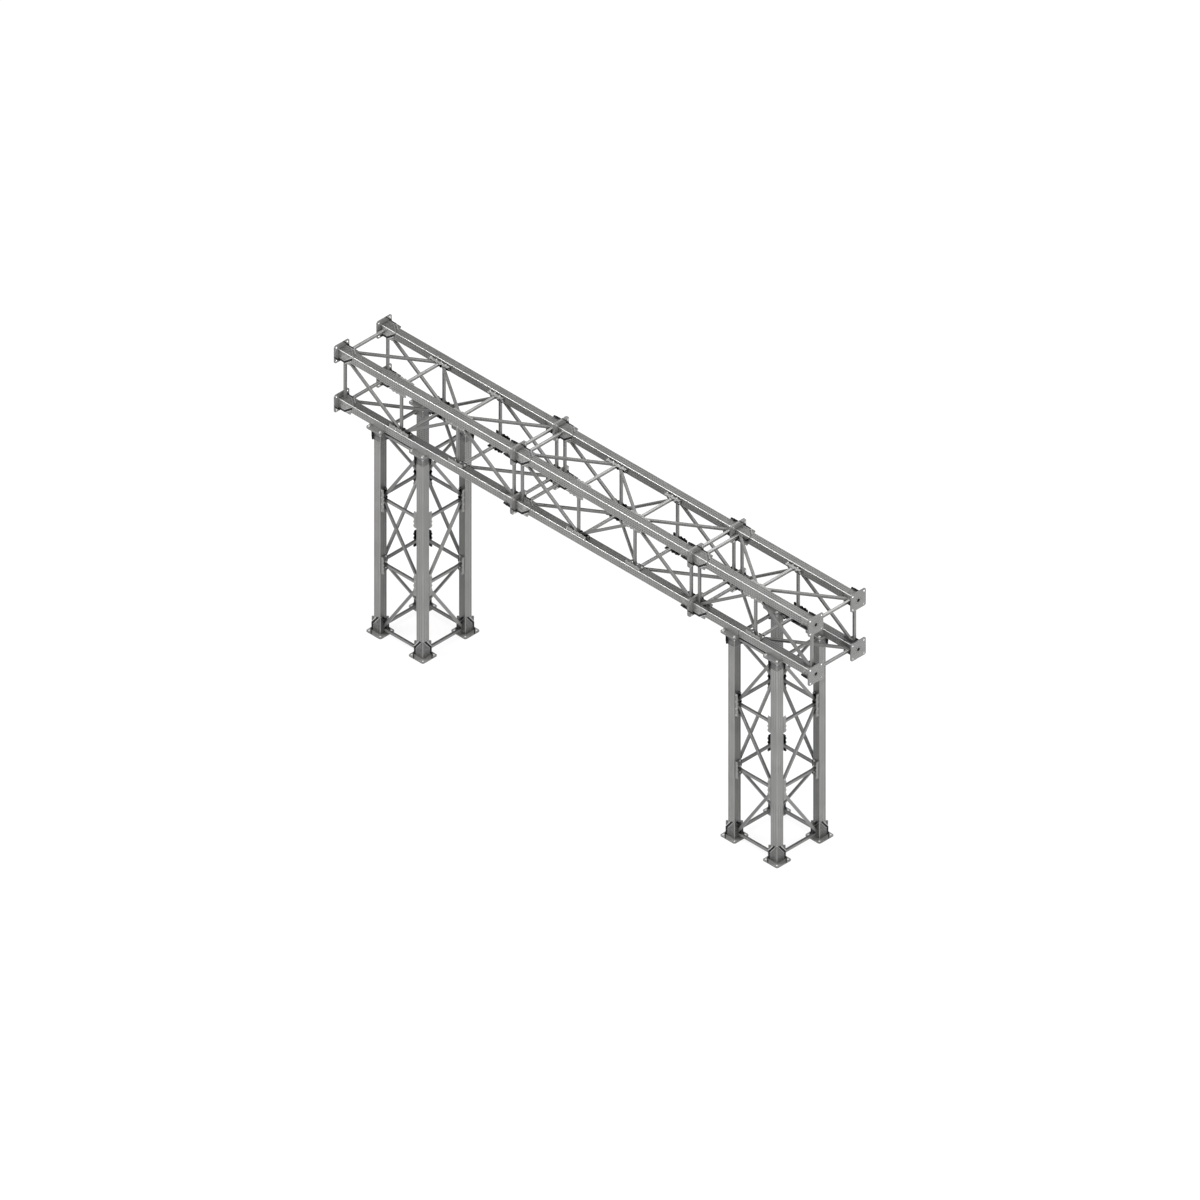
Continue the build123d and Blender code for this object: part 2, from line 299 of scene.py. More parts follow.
def plate_finish(name, lengthwise, centre, half_length):
    """Smooth zinc with a ring of small gauge holes round the middle hole of each plate.

    Faces less than half_length from the middle of the whole row look back along the girders.
    There they are painted an even, lighter grey as painted light, and nearer the middle the shoe's
    reflection is painted over the plate and its rim in a darker grey, as far as the line
    |u| + |v| = corner_cut across each corner; in two corners, u * v > 0, that line is black.

    A ring hole lies where the angle round the plate's centre is a multiple of a turn / ring_count:
    its distance is the root of ((r - ring_radius) squared + (angle off * ring_radius) squared).
    """
    finish = Finish(name)
    place, facing, _, _, u, v = by_rows(finish, lengthwise, centre)
    r = u.across_from(v)
    turn = u.maths("ARCTAN2", v, u).in_cell(2 * math.pi / ring_count)
    from_ring_hole = (r - ring_radius).across_from(turn * ring_radius)
    gauge = from_ring_hole.slope(ring_hole + 0.0003, ring_hole - 0.0003)
    on_face = abs(facing[lengthwise]) > 0.7
    # painted shade: the middle hole's walls and a ring 7 mm wide round it are painted the black of the
    # hole's shaded inside
    gauge = (gauge * on_face).most(r < middle_hole + 0.007)
    from_bolt = (abs(u) - bolt_offset).across_from(abs(v) - bolt_offset)
    bolt_wall = from_bolt < bolt_hole + 0.0003
    colour, rough, crystal, streak = finish.zinc(plate_light, plate_dark)
    colour = finish.blend(0.55 - 0.55 * on_face, colour, flame_cut)
    inward = abs(place[lengthwise] - centre[lengthwise]) < half_length
    corner = abs(u) + abs(v)
    dull = inward * (corner < corner_cut)
    cut_line = inward * (abs(corner - corner_cut) < corner_line) * (u * v > 0.0)
    # painted light: the faces that look back along the girders are painted an even, lighter grey
    colour = finish.blend(inward * on_face * 0.6, colour, inward_lit_grey)
    # painted reflection: nearer the middle they take the shoe's darker grey, and a black line crosses
    # two corners
    colour = finish.blend(dull * 0.75, colour, shoe_reflection_grey)
    colour = finish.blend(cut_line, colour, hole_shade)
    # painted light: the walls of the bolt holes are painted near white, for the light seen through them
    colour = finish.blend(bolt_wall, colour, bolt_hole_light)
    # the rim of the plate wears through to a duller grey
    border = abs(u).most(abs(v)).slope(plate_half - 0.012, plate_half)
    worn = border * finish.noise(finish.place, 45.0, 5.0).slope(0.5, 0.62) * 0.5
    colour = finish.blend(worn, colour, worn_steel)
    colour = finish.blend(gauge, colour, hole_shade)
    rough = rough - 0.2 + 0.18 * worn + 0.3 * gauge + 0.15 * inward
    height = 0.05 * crystal - gauge
    metallic = 0.92 - 0.5 * gauge - 0.4 * inward * (1 - gauge)
    return finish.metal(colour, rough, metallic, height, 0.001)


bridge_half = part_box("frame3_end_plates")[1].x - plate_thickness / 2
splice_finish = plate_finish("smooth_end_plate", 0, truss_line, bridge_half)
for frame_name in frames:
    coat(frame_name + "_end_plates", splice_finish)
for tower in towers:
    low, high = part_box(tower + "_end_plates")
    centre = (middle_line[tower][0], 0.0, (low.z + high.z) / 2)
    half_height = (high.z - low.z - plate_thickness) / 2
    coat(tower + "_end_plates", plate_finish("smooth_plate_" + tower, 2, centre, half_height))

# ---- Shoes ------------------------------------------------------------------
# Two folded angles grip each girder end. The outer one has a raised cover and fins along its
# free edges; the inner one turns out against those fins. The fins and the faces below the cover
# are painted black as shade, and the rest is galvanised.
shoe_plate = 0.004
shoe_cover = 0.004
shoe_level = half_girder + shoe_plate
fin_shade_black = (0.012, 0.012, 0.013)
shoe_light = (0.40, 0.40, 0.392)
shoe_dark = (0.24, 0.24, 0.236)
shoe_stain_and_shade = (0.03, 0.03, 0.03)
shoe_fold_highlight = (0.60, 0.60, 0.59)
cover_edge = shoe_level + shoe_cover + 0.0012


def shoe_finish(name, lengthwise, centre, shaded_fins):
    """Zinc for the shoes, with black painted shade on the fins and on the faces below the cover.

    On the outer shoes everything at the level below the cover is painted black as shade; on the
    inner ones only the edges turned out to the front and top, which belong to the short shoes.

    level = the cross offset along the way the face points, so the cover's faces are at
    shoe_level + shoe_cover and the shaded ones below it; whatever stands further out is a fin.
    Where that painted shade looks up it is painted lighter, as light falls on it from above:
    black * (1 - 0.6 * facing up).
    """
    finish = Finish(name)
    _, facing, first, second, signed_u, signed_v = by_rows(finish, lengthwise, centre)
    u = abs(signed_u)
    v = abs(signed_v)
    streaks = drawn_out(lengthwise, 0.8, 10.0)
    colour, rough, crystal, streak = finish.zinc(shoe_light, shoe_dark, streaks)
    stain = finish.noise(finish.place, 55.0, 3.0).slope(0.44, 0.62)
    colour = finish.blend(stain * 0.45, colour, shoe_stain_and_shade)
    # painted shade: shoes on the legs are painted darker all over, the chords' shoes where they look up
    shadow = 0.5 if lengthwise == 2 else 0.5 * facing[2].slope(0.4, 0.8)
    colour = finish.blend(shadow, colour, shoe_stain_and_shade)
    # painted highlight along the fold, stronger on the chords than on the legs
    fold = u.least(v).slope(shoe_level - 0.002, shoe_level)
    highlight_share = 0.8 if lengthwise == 0 else 0.35
    colour = finish.blend(fold * highlight_share, colour, shoe_fold_highlight)
    if shaded_fins:
        # painted shade: fins and faces below the cover are painted black, lighter where they look up,
        # broken up at random
        level = abs(facing[first]) * u + abs(facing[second]) * v
        square_on = abs(facing[lengthwise]) < 0.5
        below = (level < shoe_level + shoe_cover / 2) * square_on
        beyond = u.most(v) > cover_edge
        lit_from_above = facing[2].slope(0.6, 0.8)
        black = (below * (1 - 0.6 * lit_from_above)).most(beyond) * square_on
        shade_breakup = finish.noise(finish.place, 160.0, 6.0).slope(0.66, 0.70)
        black = black * (1 - 0.6 * shade_breakup)
    else:
        # painted shade: on the inner shoes only the edges turned out to the front and top are painted
        # black
        front_is_first = 1 if lengthwise == 2 else -1
        black = (signed_u * front_is_first).most(signed_v * -front_is_first) > cover_edge
    colour = finish.blend(black, colour, fin_shade_black)
    height = 0.06 * crystal + 0.06 * streak
    return finish.metal(colour, rough + 0.12 * black, 0.85 - 0.8 * black, height, 0.001)


for kind, shaded_fins in (("outer", True), ("inner", False)):
    chord_shoe_finish = shoe_finish("shoe_" + kind + "_zinc", 0, truss_line, shaded_fins)
    for frame_name in frames:
        coat(frame_name + "_shoes_" + kind, chord_shoe_finish)
    for tower in towers:
        leg_shoe_finish = shoe_finish("shoe_" + kind + "_" + tower, 2, middle_line[tower], shaded_fins)
        coat(tower + "_shoes_" + kind, leg_shoe_finish)

# ---- Saddles ----------------------------------------------------------------
# Trays of 5 mm plate on the tower heads, with an upright wall either side of the bridge
# girder. They are bolted through the head plates and galvanised like them.
saddle_light = (0.30, 0.30, 0.296)
saddle_dark = (0.185, 0.185, 0.182)
saddle_dull = (0.30, 0.30, 0.30)
saddle_thickness = 0.005


def saddle_finish():
    """Plain hot-dip zinc with drip streaks down the walls."""
    finish = Finish("saddle_zinc")
    colour, rough, crystal, streak = finish.zinc(saddle_light, saddle_dark, drawn_out(2, 0.8, 18.0))
    dull = finish.noise(finish.place, 12.0, 5.0).slope(0.52, 0.7)
    colour = finish.blend(dull * 0.35, colour, saddle_dull)
    return finish.metal(colour, rough + 0.15 * dull, 0.85, 0.06 * crystal + 0.05 * streak, 0.001)


tray_finish = saddle_finish()
for tower in towers:
    coat(tower + "_saddles", tray_finish)

# ---- Clamp bolts of the shoes -----------------------------------------------
# M8 hexagon bolts draw the fins of the outer shoe against the edges of the inner one; they are
# painted black with the painted shade of the fins. Three sit in each fin where the inner shoe is
# long and two where it is short.
clamp_steps = ((0.0065, 0.0, 1.0), (0.0065, 0.0046, 1.0), (0.0063, 0.0056, 0.0))
clamp_nut_steps = (
    (0.0065, 0.0, 1.0), (0.0065, 0.0058, 1.0), (0.0063, 0.0068, 0.0),
    (0.0040, 0.0068, 0.0), (0.0040, 0.0110, 0.0), (0.0033, 0.0120, 0.0),
)
shoe_fin = 0.029
fin_middle = half_girder + shoe_fin / 2
long_fin_heights = (0.022, 0.056, 0.090)
short_fin_heights = (0.024, 0.086)
bolt_light = (0.62, 0.62, 0.61)
bolt_dark = (0.45, 0.45, 0.445)
clamp_shade_light = (0.075, 0.075, 0.076)
clamp_shade_dark = (0.030, 0.030, 0.031)


def turned(steps, sides=12):
    """Closed rings of a turned part, from (radius, height, hexness) steps, one ring a step.

    At angle a the radius is its flat-to-middle distance / cos(a folded into 30 degrees of a flat)
    where hexness is 1, and the plain radius where it is 0.
    """
    angle = np.arange(sides) * 2 * np.pi / sides
    fold = np.mod(angle + np.pi / 6, np.pi / 3) - np.pi / 6
    radius, height, hexness = np.array(steps).T
    stretch = 1 + hexness[:, None] * (1 / np.cos(fold) - 1)
    x = radius[:, None] * stretch * np.cos(angle)
    y = radius[:, None] * stretch * np.sin(angle)
    z = np.broadcast_to(height[:, None], x.shape)
    return np.stack([x, y, z], -1)


def copies(rings, origins, axes):
    """Rings set down once for each origin: point = origin + x * first axis + y * second + z * third."""
    origins = np.asarray(origins, float)
    axes = np.asarray(axes, float)
    return origins[:, None, None] + np.einsum("spk,nkc->nspc", rings, axes)


def unit(vectors):
    """The vectors along the last axis, each drawn to length 1."""
    return vectors / np.linalg.norm(vectors, axis=-1, keepdims=True)


def stood_on(normals):
    """For each outward normal, three right-handed axes whose third is that normal."""
    third = np.asarray(normals, float)
    helper = np.where(np.abs(third[:, :1]) > 0.7, [[0.0, 1.0, 0.0]], [[1.0, 0.0, 0.0]])
    first = unit(np.cross(helper, third))
    second = np.cross(third, first)
    return np.stack([first, second, third], 1)


def put_in_scene(name, data):
    """A new object that holds that mesh, lamp or camera."""
    made = bpy.data.objects.new(name, data)
    bpy.context.scene.collection.objects.link(made)
    return made


def quad_corners(here, beside):
    """Values at the four corners of each quad, from those at its points j and at its points j+1."""
    return np.stack([here[:, :-1], beside[:, :-1], beside[:, 1:], here[:, 1:]], -1)


def piece(name, batches, finish, along=None):
    """One mesh object skinned over batches of closed rings, riding on the bridge.

    A batch is (copies, steps, points, xyz). Quad (i, j) joins points j and j+1 of steps i and i+1,
    and each end is closed by a flat cap, so rings run counter-clockwise about the way they step.
    UV u is the way along a copy and v the way round it, both in metres.
    """
    points, faces, ways = [], [], []
    first = 0
    for number, rings in enumerate(batches):
        number_copies, steps, sides, _ = rings.shape
        index = first + np.arange(number_copies * steps * sides).reshape(number_copies, steps, sides)
        faces += quad_corners(index, np.roll(index, -1, 2)).reshape(-1, 4).tolist()
        faces += index[:, 0, ::-1].tolist()
        faces += index[:, -1].tolist()
        points.append(rings.reshape(-1, 3))
        if along is None:
            stride = np.linalg.norm(np.diff(rings.mean(2), axis=1), axis=-1)
            u = np.concatenate([np.zeros((number_copies, 1)), np.cumsum(stride, 1)], 1)
            u = np.broadcast_to(u[:, :, None], rings.shape[:3])
        else:
            u = along[number]
        hop = np.linalg.norm(np.roll(rings, -1, axis=2) - rings, axis=-1)
        v = np.concatenate([np.zeros(hop.shape[:2] + (1,)), np.cumsum(hop, 2)], 2)
        u_quads = quad_corners(u, np.roll(u, -1, 2))
        v_quads = quad_corners(v[..., :-1], v[..., 1:])
        ways.append(np.stack([u_quads, v_quads], -1).reshape(-1, 2))
        ways.append(np.zeros((2 * number_copies * sides, 2)))
        first += number_copies * steps * sides
    mesh = bpy.data.meshes.new(name)
    mesh.from_pydata(np.concatenate(points).tolist(), [], faces)
    layer = mesh.uv_layers.new(name="lengthways")
    layer.data.foreach_set("uv", np.concatenate(ways).astype(np.float32).ravel())
    mesh.polygons.foreach_set("use_smooth", np.ones(len(mesh.polygons), bool))
    mesh.set_sharp_from_angle(angle=math.radians(32.0))
    mesh.materials.append(finish)
    made = put_in_scene(name, mesh)
    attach(made, "root")
    return made


def bolt_finish(name, dark, light, rough):
    """Plated steel, its tone drifting from bolt to bolt, with a fine grit."""
    finish = Finish(name)
    cloud = finish.noise(finish.place, 90.0, 3.0)
    colour = finish.blend(cloud.slope(0.35, 0.65), dark, light)
    grit = finish.noise(finish.place, 900.0, 2.0)
    return finish.metal(colour, rough + 0.16 * cloud, 0.95, grit, 0.0002)


# each end of a girder as (where its plate's inner face crosses the girder's middle line, the
# ways of a standing shoe's x, y and z there, whether the inner shoe is the short one)
forward = ((0, -1, 0), (0, 0, -1), (1, 0, 0))
backward = ((0, 0, -1), (0, -1, 0), (-1, 0, 0))
upward = ((1, 0, 0), (0, 1, 0), (0, 0, 1))
downward = ((0, 1, 0), (1, 0, 0), (0, 0, -1))
low_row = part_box("frame1_chords_low")[0].z + half_girder
high_row = low_row + row_spacing
girder_ends = {}
for frame_name in frames:
    low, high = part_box(frame_name + "_chords_low")
    girder_ends[frame_name] = []
    for y, z in product(rows, (low_row, high_row)):
        girder_ends[frame_name].append(((low.x, y, z), forward, False))
        girder_ends[frame_name].append(((high.x, y, z), backward, True))
for tower in towers:
    low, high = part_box(tower + "_legs")
    girder_ends[tower] = []
    for x, y in product((low.x + half_girder, high.x - half_girder), rows):
        girder_ends[tower].append(((x, y, low.z), upward, False))
        girder_ends[tower].append(((x, y, high.z), downward, True))

bolt_zinc = bolt_finish("bolt_zinc", bolt_dark, bolt_light, 0.24)
# painted shade: the clamp bolts are painted black to match the fins' painted shade
bolt_shade_black = bolt_finish("bolt_shade_black", clamp_shade_dark, clamp_shade_light, 0.42)
for owner, ends in girder_ends.items():
    heads, nuts, outward = [], [], []
    for origin, ways, short in ends:
        way_x, way_y, way_z = np.array(ways, float)
        for height in short_fin_heights if short else long_fin_heights:
            for out, over in ((way_x, way_y), (-way_y, -way_x)):
                fin = np.array(origin) + height * way_z + fin_middle * over
                heads.append(fin + shoe_level * out)
                nuts.append(fin + (half_girder - shoe_plate) * out)
                outward.append(out)
    outward = np.array(outward)
    head_batch = copies(turned(clamp_steps), heads, stood_on(outward))
    nut_batch = copies(turned(clamp_nut_steps), nuts, stood_on(-outward))
    piece(owner + "_clamp_bolts", [head_batch, nut_batch], bolt_shade_black)

# ---- Weld beads of the shoes ------------------------------------------------
# A bead of weld runs round the free edge of each raised cover and another along the cut edge
# of the fin, ground round and galvanised over; both are painted near white as a highlight, so
# they show as thin bright lines.
shoe_shoulder = 0.181
chamfer_across = 0.067
chamfer_along = 0.087
bead_radius = 0.0032
bead_highlight_light = (0.88, 0.88, 0.87)
bead_highlight_dark = (0.62, 0.62, 0.61)


def shoe_lines():
    """Where the beads run on one wall of a standing shoe, as (away from the middle, height) pairs.

    The cover's cut edge is the fin's own cut moved in by one fin width, square to itself.
    """
    fin_edge = half_girder + shoe_fin
    slant = math.hypot(chamfer_across, chamfer_along)
    steep = chamfer_along / chamfer_across
    low_across = fin_edge - shoe_fin * chamfer_along / slant
    low_height = shoe_shoulder - chamfer_along - shoe_fin * chamfer_across / slant
    edge_height = low_height + (low_across - half_girder) * steep
    shoulder_across = fin_edge - chamfer_across
    top_across = -shoe_level + shoe_cover
    top_height = edge_height + (half_girder - top_across) * steep
    cover_line = [(half_girder, 0.004), (half_girder, edge_height), (top_across, top_height)]
    fin_line = [(fin_edge, shoe_shoulder - chamfer_along), (shoulder_across, shoe_shoulder)]
    return [cover_line, fin_line]


def bead(path, radius, pitch=0.012, ripple=0.12, sides=6):
    """A rippled round bead along a path of straight runs: rings every quarter pitch.

    radius at distance s = radius * (1 + ripple * sin(turn * s / pitch)), drawn in at both ends.
    """
    path = np.array(path, float)
    runs = np.linalg.norm(np.diff(path, axis=0), axis=1)
    reach = np.concatenate([[0.0], np.cumsum(runs)])
    s = np.union1d(np.linspace(0.0, reach[-1], max(4, int(reach[-1] / pitch * 2))), reach)
    middle = np.stack([np.interp(s, reach, path[:, axis]) for axis in range(3)], 1)
    axes = stood_on(unit(np.gradient(middle, axis=0)))
    swell = radius * (1 + ripple * np.sin(2 * np.pi * s / pitch))
    swell[0] = swell[-1] = radius * 0.4
    angle = np.arange(sides) * 2 * np.pi / sides
    cosine, sine = np.cos(angle)[None, :, None], np.sin(angle)[None, :, None]
    ring = cosine * axes[:, None, 0] + sine * axes[:, None, 1]
    return middle[:, None] + swell[:, None, None] * ring


def bead_finish():
    """Zinc over weld, painted near white as a highlight, with a fine grain."""
    finish = Finish("bead_highlight_zinc")
    grain = finish.noise(finish.place, 300.0, 3.0)
    colour = finish.blend(grain.slope(0.35, 0.65), bead_highlight_dark, bead_highlight_light)
    return finish.metal(colour, 0.26 + 0.1 * grain, 0.9, grain, 0.0004)


standing_beads = []
for line in shoe_lines():
    over, height = np.array(line).T
    wall = np.full(len(line), shoe_level)
    for x, y in ((wall, over), (-over, -wall)):
        standing_beads.append(bead(np.stack([x, y, height], 1), bead_radius))
bead_highlight_zinc = bead_finish()
for owner, ends in girder_ends.items():
    origins = [origin for origin, ways, short in ends]
    turns = [ways for origin, ways, short in ends]
    batches = [copies(rings, origins, turns) for rings in standing_beads]
    piece(owner + "_shoe_beads", batches, bead_highlight_zinc)

# ---- Splice and saddle bolts ------------------------------------------------
# M16 bolts, four through each pair of end plates between two frames, and four through each
# saddle and the head plate below it, with washers under head and nut.
joint_washer = ((0.0150, 0.0, 0.0), (0.0150, 0.0030, 0.0), (0.0120, 0.0030, 1.0))
joint_steps = joint_washer + ((0.0120, 0.0112, 1.0), (0.0116, 0.0130, 0.0))
joint_nut_steps = joint_washer + (
    (0.0120, 0.0145, 1.0), (0.0116, 0.0160, 0.0), (0.0080, 0.0160, 0.0),
    (0.0080, 0.0235, 0.0), (0.0068, 0.0250, 0.0),
)


def joint_bolts(name, centres, way, thickness):
    """Four bolts at the corners round each centre: heads on its face, nuts one thickness back."""
    way = np.array(way, float)
    first, second, _ = stood_on([way])[0]
    corners = [bolt_offset * (a * first + b * second) for a, b in product((-1, 1), (-1, 1))]
    heads = (np.array(centres)[:, None] + np.array(corners)[None]).reshape(-1, 3)
    normals = np.tile(way, (len(heads), 1))
    head_batch = copies(turned(joint_steps), heads, stood_on(normals))
    nut_batch = copies(turned(joint_nut_steps), heads - thickness * way, stood_on(-normals))
    piece(name, [head_batch, nut_batch], bolt_zinc)


for frame_name in frames[:-1]:
    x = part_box(frame_name + "_end_plates")[1].x + plate_thickness
    centres = [(x, y, z) for y, z in product(rows, (low_row, high_row))]
    joint_bolts(frame_name + "_splice_bolts", centres, (1, 0, 0), 2 * plate_thickness)
for tower in towers:
    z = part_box(tower + "_end_plates")[1].z + saddle_thickness
    centres = [(middle_line[tower][0] + x, y, z) for x, y in product(rows, rows)]
    joint_bolts(tower + "_saddle_bolts", centres, (0, 0, 1), plate_thickness + saddle_thickness)

# ---- Lattice bars -----------------------------------------------------------
# Cross bars and diagonals of 30 x 28 mm strut channel, roll-formed from 2.5 mm strip with small
# round holes down its back. Its lips turn in until only a 5 mm slot is left, which faces into
# the frame. Where they meet the brackets, diagonals are mitred between girder and cross bar.
bar_half_width = 0.015
bar_half_depth = 0.014
bar_wall = 0.0025
bar_bend = 0.0038
bar_lip = 0.0126
station_offset = 0.058
diagonal_gap = 0.031
mitre_room = 0.0153
seat = 0.008
edge_of_girder = (row_spacing - girder_side) / 2
bar_end = edge_of_girder - seat
bay_length = 0.8
tower_bays = 3
mitre_point = 0.0087
bar_light = (0.225, 0.225, 0.222)
bar_dark = (0.153, 0.153, 0.15)
bar_hole_pitch = 0.025
bar_hole_radius = 0.0034
cross_bar_mark = 2.5
cross_bar_highlight = (0.62, 0.62, 0.61)
bar_painted_shade = (0.03, 0.03, 0.03)


def arc(centre_a, centre_b, radius, start, stop, count=4):
    """Points at equal angles, in degrees, on a circle: centre + radius * (cos, sin)."""
    angle = np.radians(np.linspace(start, stop, count))
    return np.stack([centre_a + radius * np.cos(angle), centre_b + radius * np.sin(angle)], 1)


def channel_skin(depth):
    """The channel's right half, that deep below its outer skin, from lip to middle of the back."""
    w, d, r = bar_half_width - bar_bend, bar_half_depth, bar_bend
    lip = [(bar_half_width - bar_lip, depth - d), (mitre_point, depth - d)]
    back = [(mitre_point, d - depth), (0.0, d - depth)]
    low_bend = arc(w, r - d, r - depth, -90, 0)
    return np.concatenate([lip, low_bend, arc(w, d - r, r - depth, 0, 90), back])


def channel_section():
    """Closed outline of the strut channel, back at +b and lips at -b, counter-clockwise.

    The outer skin runs from the right lip up round the back to the left lip, and the inner skin
    returns one wall inside it; the left half is the right half with a turned about.
    """
    outer, inner = channel_skin(0.0), channel_skin(bar_wall)[::-1]
    turn_about = np.array([-1.0, 1.0])
    return np.concatenate([outer, (outer * turn_about)[-2::-1], (inner * turn_about)[::-1], inner[1:]])


def lattice_bars(length, bays, first_rises):
    """Start and finish of every bar of a flat lattice, as (along, across) pairs.

    Cross bar k stands at station_offset + k * bay. Diagonal k starts diagonal_gap past cross
    bar k and finishes as far before cross bar k + 1.
    """
    bay = (length - 2 * station_offset) / bays
    k = np.arange(bays + 1)
    cross_x = station_offset + k * bay
    end = np.full(bays + 1, bar_end)
    cross = np.stack([np.stack([cross_x, -end], 1), np.stack([cross_x, end], 1)], 1)
    j = np.arange(bays)
    sign = np.where((j % 2 == 0) == first_rises, 1.0, -1.0)
    left = np.stack([cross_x[:-1] + diagonal_gap, -sign * bar_end], 1)
    right = np.stack([cross_x[1:] - diagonal_gap, sign * bar_end], 1)
    return np.concatenate([cross, np.stack([left, right], 1)])


def channel_rings(bars):
    """The channel carried from start to finish of each bar, mitred into its two corners.

    The way along each bar comes back with it, raised by cross_bar_mark on the cross bars.

    A point a across the bar starts where its own line has met both the level across = start's
    and the near side of the cross bar: it is start + a * side + t * way, with t the larger of
    -(a * side's across part) / (way's across part) and
    (mitre_room - diagonal_gap - a * side's along part) / (way's along part).
    """
    outline = channel_section()
    start, finish = bars[:, 0], bars[:, 1]
    way = unit(finish - start)
    side = np.stack([way[:, 1], -way[:, 0]], 1)
    a, b = outline[:, 0], outline[:, 1]
    level_slip = -a[None, :] * side[:, 1:] / way[:, 1:]
    crosses = np.abs(way[:, :1]) < 0.01
    along_way = np.where(crosses, 1.0, way[:, :1])
    ends = []
    for end, turn in ((start, 1), (finish, -1)):
        mitre_slip = (turn * (mitre_room - diagonal_gap) - a[None, :] * side[:, :1]) / along_way
        mitred = turn * np.maximum(turn * level_slip, turn * mitre_slip)
        slip = np.where(crosses, level_slip, mitred)
        flat = end[:, None] + a[None, :, None] * side[:, None] + slip[..., None] * way[:, None]
        height = np.broadcast_to(b[None, :, None], flat.shape[:2] + (1,))
        ends.append(np.concatenate([flat, height], -1))
    rings = np.stack(ends, 1)
    travel = np.einsum("nspc,nc->nsp", rings[..., :2], way)
    travel = travel - (start * way).sum(1)[:, None, None]
    return rings, travel + cross_bar_mark * crosses[:, :, None]


def bar_finish(name, on_tower):
    """Zinc with a line of holes down the channel's back, laid along the bar by its UV map.

    On the frames, cross bars, whose u starts at cross_bar_mark, are painted lighter than the
    diagonals as a highlight, more where they look up. On the towers painted light goes on all bars
    where they look right and on cross bars where they look to the front, and painted shade on cross
    bars where they look up. v is the way round the outline and the back's middle lies at back_v, so
    a hole's distance is the root of (u in its cell squared + (v - back_v) squared).
    """
    outline = channel_section()
    hop = np.linalg.norm(np.roll(outline, -1, 0) - outline, axis=1)
    back = int(np.argmax(outline[:, 1] - np.abs(outline[:, 0])))
    back_v = float(hop[:back].sum())
    finish = Finish(name)
    colour, rough, crystal, streak = finish.zinc(bar_light, bar_dark)
    u, v, _ = finish.axes(finish.lengthways)
    facing_x, facing_y, facing_z = finish.axes(finish.facing)
    upward = facing_z.slope(0.3, 0.8)
    crosses = u > cross_bar_mark - 0.5
    if on_tower:
        # painted light on tower bars that look right and tower cross bars that look to the front;
        # painted shade on tower cross bars that look up
        colour = finish.blend(facing_x.slope(0.5, 0.8) * 0.12, colour, cross_bar_highlight)
        colour = finish.blend(crosses * facing_y.slope(-0.5, -0.8) * 0.09, colour, cross_bar_highlight)
        colour = finish.blend(crosses * upward * 0.4, colour, bar_painted_shade)
    else:
        # painted highlight: frame cross bars are painted lighter, more where they look up
        colour = finish.blend(crosses * (0.12 + 0.3 * upward), colour, cross_bar_highlight)
    r = u.in_cell(bar_hole_pitch).across_from(v - back_v)
    hole = r.slope(bar_hole_radius + 0.0003, bar_hole_radius - 0.0003)
    rim = r.slope(bar_hole_radius + 0.0015, bar_hole_radius)
    colour = finish.blend(hole * 0.8, colour, hole_shade)
    height = 0.05 * crystal + 0.04 * streak - 0.7 * rim - hole
    return finish.metal(colour, rough - 0.06 + 0.3 * hole, 0.88 - 0.5 * hole, height, 0.001)


# each lattice as (owner, face, origin of its along line, ways of along, across and outward,
# length, bays, whether the first diagonal climbs)
lattices = []
x_way, y_way, z_way = (1, 0, 0), (0, 1, 0), (0, 0, 1)
front_way, left_way, under_way = (0, -1, 0), (-1, 0, 0), (0, 0, -1)
for frame_name in frames:
    low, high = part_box(frame_name + "_end_plates")
    length = high.x - low.x
    bays = round(length / bay_length)
    middle_z = (low_row + high_row) / 2
    climbs = bays % 2 == 0
    for face, origin, ways, rises in (
        ("front", (low.x, -half_row, middle_z), (x_way, z_way, front_way), climbs),
        ("back", (low.x, half_row, middle_z), (x_way, z_way, y_way), climbs),
        ("top", (low.x, 0.0, high_row), (x_way, y_way, z_way), not climbs),
        ("bottom", (low.x, 0.0, low_row), (x_way, y_way, under_way), not climbs),
    ):
        lattices.append((frame_name, face, origin, ways, length, bays, rises))
for tower in towers:
    low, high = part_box(tower + "_end_plates")
    x = middle_line[tower][0]
    for face, origin, ways, rises in (
        ("front", (x, -half_row, low.z), (z_way, x_way, front_way), True),
        ("back", (x, half_row, low.z), (z_way, x_way, y_way), True),
        ("left", (x - half_row, 0.0, low.z), (z_way, y_way, left_way), False),
        ("right", (x + half_row, 0.0, low.z), (z_way, y_way, x_way), False),
    ):
        lattices.append((tower, face, origin, ways, high.z - low.z, tower_bays, rises))


def set_down(batch, origin, ways):
    """Rings from (along, across, outward) into place, turned back to front if that mirrored them."""
    placed = origin + batch @ np.array(ways, float)
    return placed[:, :, ::-1] if np.linalg.det(ways) < 0 else placed


bar_zinc = {False: bar_finish("bar_zinc", False), True: bar_finish("tower_bar_zinc", True)}
for owner, face, origin, ways, length, bays, climbs in lattices:
    rings, travel = channel_rings(lattice_bars(length, bays, climbs))
    if np.linalg.det(ways) < 0:
        travel = travel[:, :, ::-1]
    placed = set_down(rings, origin, ways)
    finish = bar_zinc[owner in towers]
    bars = piece(owner + "_bars_" + face, [placed], finish, [travel])
    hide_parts(owner + "_lattice_" + face)

